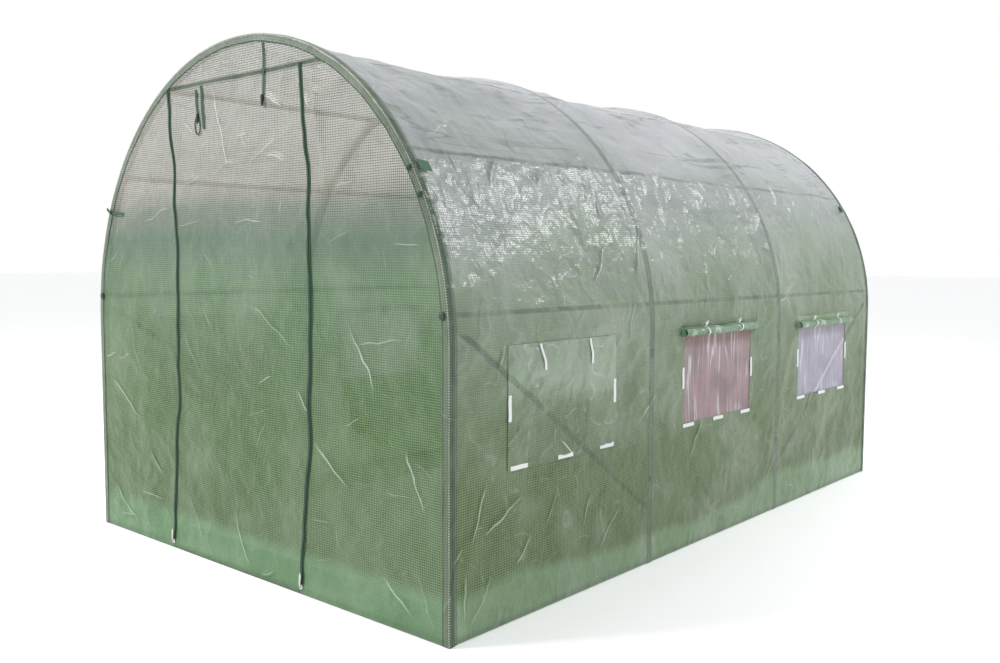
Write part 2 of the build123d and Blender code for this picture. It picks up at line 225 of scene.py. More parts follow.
# Short straight creases left by folding: one in each cell of a scatter, each turned its own way
def creaseGroup():
    numbers = {"Cells": 5.0, "Turn": 0.7, "Swing": 0.8, "Long": 0.4, "Width": 0.005, "Share": 0.5}
    group, takes, gives = newGroup("film creases", numbers, ("Creases", "Height"))
    drift = cloudy(group, takes["Vector"], 7.0, 2.0, gives="Color")
    bent = put(group, "ShaderNodeVectorMath", {0: drift, 1: (0.06, 0.06, 0), 2: takes["Vector"]},
               operation="MULTIPLY_ADD").outputs[0]
    scaled = put(group, "ShaderNodeVectorMath", {0: bent, "Scale": takes["Cells"]}, operation="SCALE").outputs[0]
    cells = put(group, "ShaderNodeTexVoronoi", {"Scale": 1.0, "Vector": scaled}, voronoi_dimensions="2D").outputs
    away = put(group, "ShaderNodeVectorMath", {0: scaled, 1: cells["Position"]}, operation="SUBTRACT").outputs[0]
    chance = put(group, "ShaderNodeSeparateColor", {0: cells["Color"]}).outputs
    turn = plus(group, takes["Turn"], times(group, minus(group, chance[0], 0.5), takes["Swing"]))
    turned = put(group, "ShaderNodeVectorRotate", {"Vector": away, "Angle": turn}, rotation_type="Z_AXIS",
                 invert=True).outputs[0]
    u, v = [calc(group, "ABSOLUTE", part) for part in axes(group, turned)[:2]]
    along = calc(group, "DIVIDE", u, times(group, takes["Long"], plus(group, chance[1], 0.4)))
    across = calc(group, "DIVIDE", v, takes["Cells"])
    limit = minus(group, 1.0, takes["Share"])
    shown = times(group, fadeOut(group, along, 0.4, 1.0),
                  ease(group, chance[2], limit, plus(group, limit, 0.3)))
    width = takes["Width"]
    line = fadeOut(group, across, times(group, width, 0.25), width)
    side = fadeOut(group, across, 0.0, times(group, width, 7.0))
    feed(group, gives, {"Creases": times(group, line, shown), "Height": times(group, side, shown)})
    return group


# Height over the ground, uneven by a little, from 0 to 1 over two metres
def heightGroup():
    group, takes, gives = newGroup("uneven height", {"Uneven": 0.2}, ("Height",))
    z = axes(group, takes["Vector"])[2]
    drift = times(group, minus(group, cloudy(group, takes["Vector"], 1.5, 2.0), 0.5), takes["Uneven"])
    drift = times(group, drift, ease(group, z, 0.25, 0.9, 0.3, 1.0))
    feed(group, gives, {"Height": plus(group, times(group, z, 0.5), drift, True)})
    return group


# Painted shade where the hoops, purlins, braces and ground tubes lie close behind the film, standing in for them
# showing through it; Core is a lighter band down the middle of each hoop
def tubeShadeGroup():
    group, takes, gives = newGroup("tubes behind the film", {}, ("Shade", "Core"))
    x, y, z = axes(group, takes["Vector"])
    toHoop = calc(group, "PINGPONG", minus(group, y, hoopY[0]), bay / 2)
    core = ease(group, toHoop, 0.004, 0.010, 0.45, 1.0)
    core = larger(group, core, lineAt(group, z, legMarks["band"], 0.008, 0.014, 1.5))
    core = larger(group, core, lineAt(group, z, legMarks["splice"], 0.016, 0.024, 1.3))
    shade = times(group, fadeOut(group, toHoop, 0.012, 0.019), core)
    uneven = ease(group, cloudy(group, takes["Vector"], 7.0, 2.0), 0.35, 0.6, 0.35, 1.0)
    angle = calc(group, "ARCTAN2", minus(group, z, springZ), calc(group, "ABSOLUTE", x))
    for p in purlins.values():
        toPurlin = times(group, apart(group, angle, p), hoopR)
        shade = larger(group, shade, times(group, uneven, fadeOut(group, toPurlin, 0.004, 0.0105, 0.9)))
    half = (hoopY[3] - hoopY[0]) / 2
    topY, footY = half - brace["aside"], half - bay + brace["aside"]
    length = math.hypot(topY - footY, brace["top"] - brace["foot"])
    fromMiddle = apart(group, y, (hoopY[0] + hoopY[3]) / 2)
    rise = times(group, minus(group, fromMiddle, topY), (brace["top"] - brace["foot"]) / length)
    run = times(group, minus(group, z, brace["top"]), (topY - footY) / length)
    bar = times(group, lineAt(group, rise, run, 0.006, 0.013, 0.95), ease(group, z, 0.215, 0.23))
    shade = larger(group, shade, times(group, bar, fadeOut(group, z, 0.885, 0.90)))
    feed(group, gives, {"Core": fadeOut(group, toHoop, 0.006, 0.0115),
                        "Shade": larger(group, shade, fadeOut(group, z, 0.012, 0.030, 0.5))})
    return group


# Painted shade where the header bar lies behind the film of both ends, and along the foot
def headerShadeGroup():
    group, takes, gives = newGroup("bar behind the end film", {}, ("Shade",))
    z = axes(group, takes["Vector"])[2]
    feed(group, gives, {"Shade": larger(group, lineAt(group, z, headerZ, 0.004, 0.010),
                                        fadeOut(group, z, 0.012, 0.030, 0.35))})
    return group


threads, creases, unevenHeight = threadGroup(), creaseGroup(), heightGroup()
tubeShade, headerShade = tubeShadeGroup(), headerShadeGroup()

# stops are height, colour and how much the film hides; the crease highlights, threads and tubes change that. The
# colour by height is partly painted light: paler and greyer up towards the roof as a painted reflection of the
# sky, darker green down the walls for the ground seen through the film, with a paler band at the foot for the
# turned-in skirt behind it; the thread colour goes with height too
coverLook = {
    "stops": [(0.0, 0.15, 0.26, 0.15, 0.90), (0.12, 0.14, 0.24, 0.13, 0.90), (0.16, 0.03, 0.07, 0.004, 0.94),
              (0.45, 0.033, 0.072, 0.007, 0.94), (0.85, 0.15, 0.20, 0.15, 0.90), (1.2, 0.33, 0.36, 0.345, 0.93),
              (1.6, 0.45, 0.465, 0.49, 0.985), (1.9, 0.48, 0.495, 0.53, 0.99)],
    "uneven": 0.38, "thread": (0.25, 0.36, 0.17, 1), "threadHigh": (0.16, 0.22, 0.17, 1), "threadMix": 0.62,
    "threadFade": 0.12, "threadAlpha": 0.97, "pitch": 0.0076, "threadShare": 0.28,
    # a pale colour painted as highlights along the creases; the random milky haze is tinted toward the same colour
    "creaseHighlight": (0.80, 0.84, 0.80, 1), "creaseHighlightMix": 0.42, "veins": 0.22, "haze": 0.12, "turns": (0.75, 0.2, -0.9),
    "tube": (0.045, 0.07, 0.05, 1), "tubeShadeMix": 0.55, "shade": tubeShade,
    "roughness": 0.25, "shine": 0.5, "crumple": 1.0, "glow": 0.45, "clear": True,
}
endLook = {**coverLook,
    # the ends turn pale and clear towards the top, a painted reflection of the sky; the dark green low down stands
    # for the ground seen through
    "stops": [(0.0, 0.09, 0.235, 0.11, 0.90), (0.12, 0.08, 0.215, 0.095, 0.90), (0.16, 0.018, 0.060, 0.0, 0.95),
              (0.45, 0.016, 0.066, 0.0, 0.92), (0.60, 0.022, 0.080, 0.01, 0.76), (0.85, 0.05, 0.122, 0.062, 0.70),
              (1.17, 0.11, 0.185, 0.14, 0.70), (1.28, 0.34, 0.37, 0.31, 0.6), (1.36, 0.80, 0.75, 0.67, 0.42),
              (1.9, 0.84, 0.81, 0.76, 0.36)],
    "uneven": 0.04, "thread": (0.19, 0.28, 0.145, 1), "threadHigh": (0.022, 0.045, 0.022, 1), "threadMix": 0.9,
    "threadFade": 1.0, "threadAlpha": 0.92, "haze": 0.08, "veins": 0.06, "turns": (-0.9, 0.1, -0.6),
    "tube": (0.035, 0.075, 0.04, 1), "tubeShadeMix": 0.8, "shade": headerShade, "shine": 0.35,
}


def creaseSet(tree, flat, cells, turn, swing, long, width, share):
    return useGroup(tree, creases, Vector=flat, Cells=cells, Turn=turn, Swing=swing, Long=long, Width=width,
                    Share=share)


def roofShadeAndTone(tree, color, flat, height, dent):
    # painted shade in the dents and along pulled lines, and a broad darker tone, all fading out down the walls
    dentShade = creaseSet(tree, flat, 2.1, 1.65, 0.7, 0.5, 0.009, 0.9)["Creases"]
    color = tint(tree, color, dentShade, ease(tree, height, 0.52, 0.70, 0.0, dent), (0.20, 0.24, 0.23, 1))
    drawn = mapped(tree, flat, 0.14, (11.0, 1.1, 1))
    pulledShade = times(tree, lineAt(tree, cloudy(tree, drawn, 1.0, 2.0), 0.5, 0.0, 0.028, 0.72),
                   ease(tree, cloudy(tree, flat, 3.0, 2.0), 0.42, 0.58))
    color = tint(tree, color, pulledShade, ease(tree, height, 0.60, 0.74), (0.17, 0.205, 0.19, 1))
    broad = ease(tree, cloudy(tree, drawn, 0.45, 2.0), 0.45, 0.66, 0.0, 0.46)
    return tint(tree, color, broad, ease(tree, height, 0.50, 0.66), (0.27, 0.305, 0.28, 1))


def filmMaterial(name, look):
    material, tree, shader = newMaterial(name)
    flat, place = flatCut(tree), objectPlace(tree)
    height = useGroup(tree, unevenHeight, Vector=place, Uneven=look["uneven"])["Height"]
    ramp = put(tree, "ShaderNodeValToRGB", {0: height})
    stops = ramp.color_ramp.elements
    stops.remove(stops[1])
    stops[0].position = 0.0
    for z, *_ in look["stops"][1:]:
        stops.new(z / 2)
    for stop, (_, *value) in zip(stops, look["stops"]):
        stop.color = value
    weave = useGroup(tree, threads, Vector=flat, Pitch=look["pitch"], Thread=look["threadShare"])
    steep = creaseSet(tree, flat, 3.1, look["turns"][0], 0.8, 0.36, 0.0034, 0.5)
    level = creaseSet(tree, flat, 4.7, look["turns"][1], 0.6, 0.44, 0.0028, 0.35)
    short = creaseSet(tree, flat, 8.3, look["turns"][2], 3.0, 0.36, 0.0022, 0.30)
    ridgeA = apart(tree, cloudy(tree, flat, 3.6, 2.0, 0.45), 0.5)
    ridgeB = apart(tree, cloudy(tree, flat, 8.5, 2.0, 0.5), 0.5)
    veins = times(tree, fadeOut(tree, ridgeA, 0.0, 0.012), ease(tree, ridgeB, 0.02, 0.10, 0.0, look["veins"]))
    haze = ease(tree, cloudy(tree, place, 3.4, 2.0, 0.6), 0.42, 0.70)
    creaseHighlight = larger(tree, steep["Creases"], times(tree, level["Creases"], 0.8))
    creaseHighlight = larger(tree, larger(tree, creaseHighlight, times(tree, short["Creases"], 0.6)), veins)
    color = tint(tree, ramp.outputs["Color"], haze, look["haze"], look["creaseHighlight"])
    threadColor = blendColors(tree, ease(tree, height, 0.50, 0.66), look["thread"], look["threadHigh"])
    fade = ease(tree, height, 0.62, 0.80, look["threadMix"], look["threadMix"] * look["threadFade"])
    color = tint(tree, color, weave["Threads"], fade, threadColor)
    # painted highlights along the creases, veins and short folds
    color = tint(tree, color, creaseHighlight, look["creaseHighlightMix"], look["creaseHighlight"])
    if "dent" in look:
        color = roofShadeAndTone(tree, color, flat, height, look["dent"])
    # painted shade over the tubes behind the film, with a lighter band painted down each hoop
    if look["tubeShadeMix"]:
        seen = useGroup(tree, look["shade"], Vector=place)
        if "core" in look:
            color = tint(tree, color, seen["Core"], 0.5, look["core"])
        color = tint(tree, color, seen["Shade"], look["tubeShadeMix"], look["tube"])
    along, across = axes(tree, flat)[:2]
    for v, width, value, share in look.get("hems", ()):
        color = blendColors(tree, lineAt(tree, across, v, width * 0.5, width, share), color, value)
    if "stitch" in look:
        v, width, pitch, value = look["stitch"]
        dots = ease(tree, calc(tree, "FRACT", calc(tree, "DIVIDE", along, pitch)), 0.35, 0.5)
        color = tint(tree, color, lineAt(tree, across, v, width * 0.5, width, 0.8), dots, value)
    if look["clear"]:
        alpha = larger(tree, ramp.outputs["Alpha"], times(tree, weave["Threads"], look["threadAlpha"]))
        alpha = plus(tree, alpha, times(tree, creaseHighlight, 0.3))
        feed(tree, shader, {"Alpha": plus(tree, alpha, times(tree, haze, 0.06), True)})
    # the inner face glows with its own colour: painted light standing in for the light that comes through the film
    inside = put(tree, "ShaderNodeNewGeometry").outputs["Backfacing"]
    feed(tree, shader, {
        "Base Color": color, "Emission Color": blendColors(tree, inside, (0, 0, 0, 1), color),
        "Emission Strength": look["glow"], "Specular IOR Level": look["shine"],
        "Roughness": plus(tree, look["roughness"], times(tree, cloudy(tree, place, 9.0, 1.0), 0.12))})
    crumple = plus(tree, times(tree, ridgeA, -3.0), times(tree, ridgeB, -1.5))
    crumple = plus(tree, crumple, times(tree, cloudy(tree, flat, 22.0, 2.0, 0.55), 0.5))
    relief = plus(tree, times(tree, weave["Height"], 0.06), times(tree, crumple, look["crumple"]))
    relief = plus(tree, relief, times(tree, plus(tree, steep["Height"], level["Height"]), 0.5))
    bumpInto(tree, shader, relief, 0.8, 0.016)
    return material


def plainMaterial(name, color, roughness, metallic=0.0, speckle=60.0, spread=0.25, bump=0.0006, coat=0.0):
    material, tree, shader = newMaterial(name)
    place = objectPlace(tree)
    grain, broad = cloudy(tree, place, speckle, 4.0, 0.6), cloudy(tree, place, 3.0)
    dark = tuple(c * (1 - spread) for c in color[:3]) + (1,)
    light = tuple(min(1, c * (1 + spread)) for c in color[:3]) + (1,)
    feed(tree, shader, {
        "Base Color": blendColors(tree, times(tree, plus(tree, grain, broad), 0.5), dark, light),
        "Roughness": plus(tree, roughness, times(tree, minus(tree, grain, 0.5), 0.3)),
        "Metallic": metallic, "Coat Weight": coat})
    bumpInto(tree, shader, grain, 0.5, bump)
    return material


filmCover = filmMaterial("reinforced film of the cover", {**coverLook, "dent": 0.7, "clear": False,
                                                          "core": (0.15, 0.215, 0.155, 1)})
filmEnds = filmMaterial("reinforced film of the ends", endLook)
tubeCoat = plainMaterial("green tube coat", (0.075, 0.11, 0.08, 1), 0.42, 0.25, 90, 0.2, 0.0004, 0.2)
darkPlastic = plainMaterial("dark moulded sockets", (0.035, 0.05, 0.038, 1), 0.5)
zipTape = plainMaterial("dark zip tape", (0.02, 0.06, 0.032, 1), 0.75, 0, 400, 0.35)
zipTeeth = plainMaterial("moulded zip teeth", (0.015, 0.05, 0.028, 1), 0.4, 0, 200, 0.3)
brightMetal = plainMaterial("bright metal", (0.62, 0.62, 0.58, 1), 0.3, 1.0, 120, 0.12)
whiteTape = plainMaterial("white woven tape", (0.78, 0.8, 0.8, 1), 0.7, 0, 500, 0.12)
strapCloth = plainMaterial("dark green webbing", (0.03, 0.075, 0.045, 1), 0.8, 0, 500, 0.35)
tabCloth = plainMaterial("green fabric tab", (0.085, 0.18, 0.115, 1), 0.8, 0, 500, 0.3)
print("materials made")


# Shapes collected as points and faces
def newShape():
    return {"points": [], "faces": []}


def addRings(shape, rings):
    start, sides = len(shape["points"]), len(rings[0])
    for ring in rings:
        shape["points"] += [tuple(p) for p in ring]
    for i in range(len(rings) - 1):
        a = start + i * sides
        for k in range(sides):
            n = (k + 1) % sides
            shape["faces"].append((a + k, a + n, a + sides + n, a + sides + k))
    end = start + (len(rings) - 1) * sides
    shape["faces"] += [tuple(range(start + sides - 1, start - 1, -1)), tuple(range(end, end + sides))]


def aheadAt(line, i):
    return (line[min(i + 1, len(line) - 1)] - line[max(i - 1, 0)]).normalized()


def addTube(shape, line, side, radius, sides=24):
    line, side = [Vector(p) for p in line], Vector(side).normalized()
    radii = radius if isinstance(radius, list) else [radius] * len(line)
    turns = [2 * math.pi * k / sides for k in range(sides)]
    rings = []
    for i, p in enumerate(line):
        out = side.cross(aheadAt(line, i)).normalized()
        rings.append([p + (out * math.cos(t) + side * math.sin(t)) * radii[i] for t in turns])
    addRings(shape, rings)


def addRibbon(shape, line, across, width, thickness):
    line, across = [Vector(p) for p in line], Vector(across).normalized()
    half = across * width / 2
    rings = []
    for i, p in enumerate(line):
        up = across.cross(aheadAt(line, i)).normalized() * thickness / 2
        rings.append([p - half - up, p + half - up, p + half + up, p - half + up])
    addRings(shape, rings)


def finishPiece(name, mesh, material, replacing):
    made = addObject(name, mesh)
    mesh.materials.append(material)
    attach(made, "root")
    if replacing:
        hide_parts(*replacing)
    return made


def makePiece(name, shape, material, replacing=(), bevel=0.0, rounded=True):
    mesh = bpy.data.meshes.new(name)
    mesh.from_pydata(shape["points"], [], shape["faces"])
    mesh.validate()
    made = finishPiece(name, mesh, material, replacing)
    if rounded:
        mesh.shade_smooth()
        mesh.set_sharp_from_angle(angle=math.radians(40))
    if bevel:
        edge = made.modifiers.new("edge", "BEVEL")
        edge.width = bevel
        edge.segments = 2
        edge.limit_method = "ANGLE"
    return made


def makeSheet(name, places, flat, material, replacing=(), keep=None, flip=None):
    if flip is not None:      # turns the faces to look outward
        places, flat = np.flip(places, flip), np.flip(flat, flip)
    rows, cols = places.shape[:2]
    index = np.arange(rows * cols).reshape(rows, cols)
    quads = np.stack([index[:-1, :-1], index[1:, :-1], index[1:, 1:], index[:-1, 1:]], -1).reshape(-1, 4)
    if keep is not None:
        quads = quads[np.flip(keep, flip).ravel()]
    used, quads = np.unique(quads, return_inverse=True)
    quads = quads.reshape(-1, 4)
    mesh = bpy.data.meshes.new(name)
    mesh.from_pydata(places.reshape(-1, 3)[used].tolist(), [], quads.tolist())
    layer = mesh.uv_layers.new(name="flat")
    layer.data.foreach_set("uv", flat.reshape(-1, 2)[used][quads.ravel()].ravel())
    mesh.shade_smooth()
    return finishPiece(name, mesh, material, replacing)


# Helpers for the lie of the film
def spread(stops, step):
    values = [stops[0]]
    for a, b in zip(stops, stops[1:]):
        n = max(1, round(abs(b - a) / step))
        values += [a + (b - a) * (i + 1) / n for i in range(n)]
    return np.array(values)


def smooth(value, low, high):
    t = np.clip((value - low) / (high - low), 0, 1)
    return t * t * (3 - 2 * t)


def past(value, start):
    return np.clip(value - start, 0, None)


def softNoise(u, v, seed):
    lattice = np.random.default_rng(seed).uniform(-1, 1, (64, 64))
    iu, iv = np.floor(u).astype(int), np.floor(v).astype(int)
    fu, fv = smooth(u - iu, 0, 1), smooth(v - iv, 0, 1)
    near = lattice[iu % 64, iv % 64] * (1 - fu) + lattice[(iu + 1) % 64, iv % 64] * fu
    far = lattice[iu % 64, (iv + 1) % 64] * (1 - fu) + lattice[(iu + 1) % 64, (iv + 1) % 64] * fu
    return near * (1 - fv) + far * fv


def foldsInto(u, v, folds):
    lift = np.zeros_like(u)
    for a, b, turn, length, width, height in folds:
        c, s = math.cos(turn), math.sin(turn)
        along = ((u - a) * c + (v - b) * s) / length
        across = ((v - b) * c - (u - a) * s) / (width * (0.5 + 0.9 * np.clip(along, 0, 1)))
        near = (along > 0) & (along < 1) & (np.abs(across) < 3.5)
        rise = smooth(along[near], 0, 0.12) * (1 - smooth(along[near], 0.35, 1))
        lift[near] += height * rise * np.exp(-np.abs(across[near]) ** 1.5)
    return lift


def fanOfFolds(points, count, reach, seed, height=0.004):
    rng = np.random.default_rng(seed)
    return [(a, b, rng.uniform(0, 2 * math.pi), rng.uniform(*reach), rng.uniform(0.012, 0.03),
             height * rng.uniform(-0.7, 1.2)) for a, b in points for _ in range(count)]


# Cover: one sheet from the skirt on one side, up the wall, over the hoops and down to the other skirt
cover = {"skirt": 0.290, "corner": 0.004, "step": 0.0138, "ridgeSag": 0.045, "roofSag": 0.018, "eaveSag": 0.016,
         "waves": 0.007, "foldHeight": 0.007, "gathers": 0.006}
coverNodes = ("left_wall_cover", "right_wall_cover", "left_eave_cover", "right_eave_cover", "left_roof_cover",
              "right_roof_cover", "ridge_cover", "ground_skirts")
flatPart = cover["skirt"] - cover["corner"]
bendPart = cover["corner"] * math.pi / 2
coverStart = flatPart + bendPart - cover["corner"] - halfFilm     # cut length at z = 0 of the wall
coverCut = 2 * (coverStart + springZ) + math.pi * wallX


def coverHalf(t):
    # x, z and outward direction at a distance along the cut, from a skirt's inner edge to the ridge
    wallPart = springZ - cover["corner"] - halfFilm
    turn = np.clip((t - flatPart) / cover["corner"], 0, math.pi / 2)
    angle = np.clip((t - flatPart - bendPart - wallPart) / wallX, 0, math.pi / 2)
    wallZ = np.clip(t - flatPart - bendPart, 0, wallPart)
    x = wallX - cover["skirt"] + np.minimum(t, flatPart) + cover["corner"] * np.sin(turn)
    z = halfFilm + cover["corner"] * (1 - np.cos(turn)) + wallZ
    arched = angle > 0
    x = np.where(arched, wallX * np.cos(angle), x)
    z = np.where(arched, springZ + wallX * np.sin(angle), z)
    nx, nz = np.where(arched, np.cos(angle), np.sin(turn)), np.where(arched, np.sin(angle), -np.cos(turn))
    return x, z, nx, nz, angle


def cutAtHeight(z):
    return coverStart + z


def cutAtAngle(angle):
    return coverStart + springZ + wallX * angle


def coverFolds():
    cuts = [cutAtAngle(p) for p in (0.0, *purlins.values())] + [cutAtHeight(z) for z in (0.03, 0.45)]
    crossings = [(c, h) for h in hoopY for cut in cuts for c in (cut, coverCut - cut)]
    corners = [(c, y0 + side * windowHalf) for y0 in windowY for side in (-1, 1)
               for z in (windowLow, windowHigh) for c in (cutAtHeight(z), coverCut - cutAtHeight(z))]
    return (fanOfFolds(crossings, 7, (0.2, 0.75), 21, cover["foldHeight"])
            + fanOfFolds(corners, 4, (0.1, 0.4), 22, 0.003))


def coverLift(s, y, z, angle):
    between = np.clip(np.searchsorted(hoopY, y) - 1, 0, 2)
    first, last = np.array(hoopY)[between], np.array(hoopY)[between + 1]
    span = np.sin(np.pi * np.clip((y - first) / (last - first), 0, 1)) ** 0.8
    toHoop = np.min([np.abs(y - h) for h in hoopY], axis=0)
    lift = np.zeros_like(s)
    rng = np.random.default_rng(5)
    low, mid, high = purlins.values()
    for a, b, sag in ((low, mid, cover["eaveSag"]), (mid, high, cover["roofSag"]),
                      (high, math.pi - high, cover["ridgeSag"])):
        u = np.clip((angle - a) / (b - a), 0, 1)
        lift -= sag * 4 * u * (1 - u) * span * (0.85 + 0.3 * rng.random())
    roof, waves = smooth(angle, 0.05, 0.4), cover["waves"]
    lift += waves * roof * softNoise(s * 9 + 1.5 * np.sin(y * 2.1), y * 1.7, 11)
    lift += 0.6 * waves * softNoise((s + y) * 6, (s - y) * 2.0, 12)
    lift += 0.5 * waves * softNoise((s - 0.7 * y) * 11, (s + y) * 3.1, 13)
    lift += 0.35 * waves * softNoise(s * 23, y * 19, 14)
    lift += foldsInto(s, y, coverFolds())
    gather = softNoise(y * 17 + 2 * softNoise(s * 3, y * 2, 16), s * 3.5, 15)
    lift += cover["gathers"] * roof * smooth(toHoop, 0.01, 0.12) * gather * np.exp(-past(toHoop, 0.05) / 0.16)
    toPurlin = np.min([np.abs(wallX * (angle - p)) for p in purlins.values()], axis=0)
    room = np.minimum(0.0015 + 0.5 * past(toHoop, 0.02), 0.0042 + 0.4 * past(toPurlin, 0.012))
    room = np.where(angle < low, np.minimum(room, 0.005), room)
    lift = np.maximum(lift * smooth(toHoop, 0.012, 0.08), -room)
    beside = [np.maximum(np.abs(y - y0) - windowHalf, np.maximum(windowLow - z, z - windowHigh)) for y0 in windowY]
    aroundWindow = np.max([smooth(0.05 - gap, 0, 0.04) for gap in beside], axis=0)
    lift = np.where(angle > 0, lift, lift * (1 - aroundWindow))
    return lift * smooth(z, 0.0, 0.06)


def buildCover():
    half = [0.0, flatPart, cutAtHeight(0.006), cutAtHeight(windowLow), cutAtHeight(windowHigh),
            cutAtHeight(springZ), *(cutAtAngle(p) for p in purlins.values()), coverCut / 2]
    s = spread(half + [coverCut - t for t in half[-2::-1]], cover["step"])
    stops = [coverY[0], hoopY[0]]
    for y0, h in zip(windowY, hoopY[1:]):
        stops += [y0 - windowHalf, y0 + windowHalf, h]
    y = spread(stops + [coverY[1]], cover["step"])
    gridS, gridY = np.meshgrid(s, y, indexing="ij")
    side = np.where(gridS < coverCut / 2, 1.0, -1.0)
    t = np.minimum(gridS, coverCut - gridS)
    x, z, nx, nz, angle = coverHalf(t)
    lift = coverLift(gridS, gridY, z, angle)
    hump = np.clip(softNoise(gridS * 14, gridY * 5, 31), 0, 1) * 0.003 * (1 - smooth(t, 0.18, 0.24))
    places = np.stack([side * (x + nx * lift), gridY, z + nz * lift + hump], -1)
    midS, midY = (s[1:] + s[:-1]) / 2, (y[1:] + y[:-1]) / 2
    _, midZ, _, _, midAngle = coverHalf(np.minimum(midS, coverCut - midS))
    inHeight = (midZ > windowLow) & (midZ < windowHigh) & (midAngle == 0)
    inLength = np.any([np.abs(midY - y0) < windowHalf for y0 in windowY], axis=0)
    keep = ~(inHeight[:, None] & inLength[None, :])
    flat = np.stack([gridS, gridY - coverY[0]], -1)
    return makeSheet("cover_film", places, flat, filmCover, coverNodes, keep, flip=1)


coverFilm = buildCover()
print("cover made")


# Door end and rear end: sheets in rows from the ground up, each with its skirt turned in over the ground
endFilm = {"skirt": 0.200, "skirtHalf": 0.71, "skirtAside": 0.07, "step": 0.014, "bulge": 0.006, "waves": 0.006,
           "doorTop": -0.048, "doorMiddle": -0.011, "doorFoot": -0.078}
endAnchors = [(x, z) for x in (-0.95, 0.95) for z in (0.05, 0.95)]
endAnchors += [(0.6, 1.5), (-0.6, 1.5), (-0.4, headerZ), (0.4, headerZ), (0, headerZ)]


def doorDrift(z):
    # the zips hang in a slight bow, and the door stands a little to the left
    top, mid, foot = endFilm["doorTop"], endFilm["doorMiddle"], endFilm["doorFoot"]
    t = np.clip(z / headerZ, 0, 1)
    return foot + (4 * mid - 3 * foot - top) * t + 2 * (top + foot - 2 * mid) * t * t


def outlineX(z):
    return np.sqrt(past(wallX ** 2 - past(z, springZ) ** 2, 0))


def endLift(x, z, seed=41, anchors=endAnchors):
    toEdge = wallX - np.hypot(x, past(z, springZ))
    held = smooth(toEdge, 0.012, 0.10) * smooth(z, 0.0, 0.08)
    waves = endFilm["waves"]
    lift = endFilm["bulge"] * softNoise(x * 1.6 + 4, z * 1.3 + 2, seed)
    lift += waves * softNoise((x - z) * 7, (x + z) * 2.0, seed + 1)
    lift += 0.6 * waves * softNoise((x + 0.6 * z) * 12, (x - z) * 3.0, seed + 2)
    lift += 0.35 * waves * softNoise(x * 24, z * 20, seed + 3)
    lift += foldsInto(x, z, fanOfFolds(anchors, 6, (0.2, 0.7), seed + 4, 0.005))
    room = np.minimum(0.0015 + 0.5 * past(toEdge, 0.02), 0.004 + 0.5 * past(np.abs(z - headerZ), 0.012))
    return np.maximum(lift * held, -np.minimum(room, 0.012))


def endSheet(name, rowsZ, sides, columns, node, skirt=None, seed=41, anchors=endAnchors, rear=False):
    # rows run from the skirt's inner edge to the top; sides gives the left and right x at a height
    y, outward = (rearY, 1) if rear else (frontY, -1)
    heights = ([-d for d in np.linspace(endFilm["skirt"], 0.004, 15)] if skirt else []) + list(rowsZ)
    places, flat, widths = [], [], []
    for z in heights:
        left, right = skirt if z < 0 else sides(z)
        widths.append(right - left)
        x = left + (right - left) * np.linspace(0, 1, columns)
        level = np.full_like(x, z)
        if z < 0:
            ground = 0.0026 + 0.002 * np.clip(softNoise(x * 9, level * 14, seed + 9), 0, 1)
            places.append(np.stack([x, np.full_like(x, y - outward * -z), ground], -1))
        else:
            lift = endLift(x, level, seed, anchors)
            places.append(np.stack([x, y + outward * lift, np.maximum(level, 0.0009)], -1))
        flat.append(np.stack([x + 3, level + 1], -1))
    made = makeSheet(name, np.array(places), np.array(flat), filmEnds, (node,), flip=None if rear else 1)


def archHeights(first, count):
    return [springZ + wallX * math.sin(t) for t in np.linspace(first, math.pi / 2 - 0.012, count)]


def buildEnds():
    low = spread([0.0, 0.02, headerZ], endFilm["step"])
    tall = list(spread([0.0, 0.02, springZ], endFilm["step"])) + archHeights(0.014, 110)
    top = archHeights(math.asin((headerZ - springZ) / wallX), 16)
    wide = lambda z: (-outlineX(z), outlineX(z))
    door = lambda z: (-doorHalf + doorDrift(z), doorHalf + doorDrift(z))
    reach, aside = endFilm["skirtHalf"], endFilm["skirtAside"]
    endSheet("front_film_left", low, lambda z: (-outlineX(z), door(z)[0]), 45, "front_left_panel")
    endSheet("front_film_right", low, lambda z: (door(z)[1], outlineX(z)), 45, "front_right_panel")
    endSheet("front_gable_film", top, wide, 72, "front_gable")
    endSheet("door_film", low, door, 58, "door_flap", (-doorHalf - aside, doorHalf - aside))
    endSheet("rear_film", tall, wide, 140, "rear_panel", (-reach, reach), 71, rear=True)
    for side, word in ((-1, "left"), (1, "right")):
        limits = sorted((side * doorHalf + endFilm["doorFoot"], side * reach))
        endSheet("front_skirt_" + word, [0.0009], lambda z: limits, 25, "ground_skirts", limits, 55, [])


buildEnds()
print("ends made")


# Bindings: the doubled, darker edge of the film folded round each end hoop
binding = {"side": 0.020, "face": 0.027, "proud": 0.0012, "sag": 0.0015, "step": 0.02}


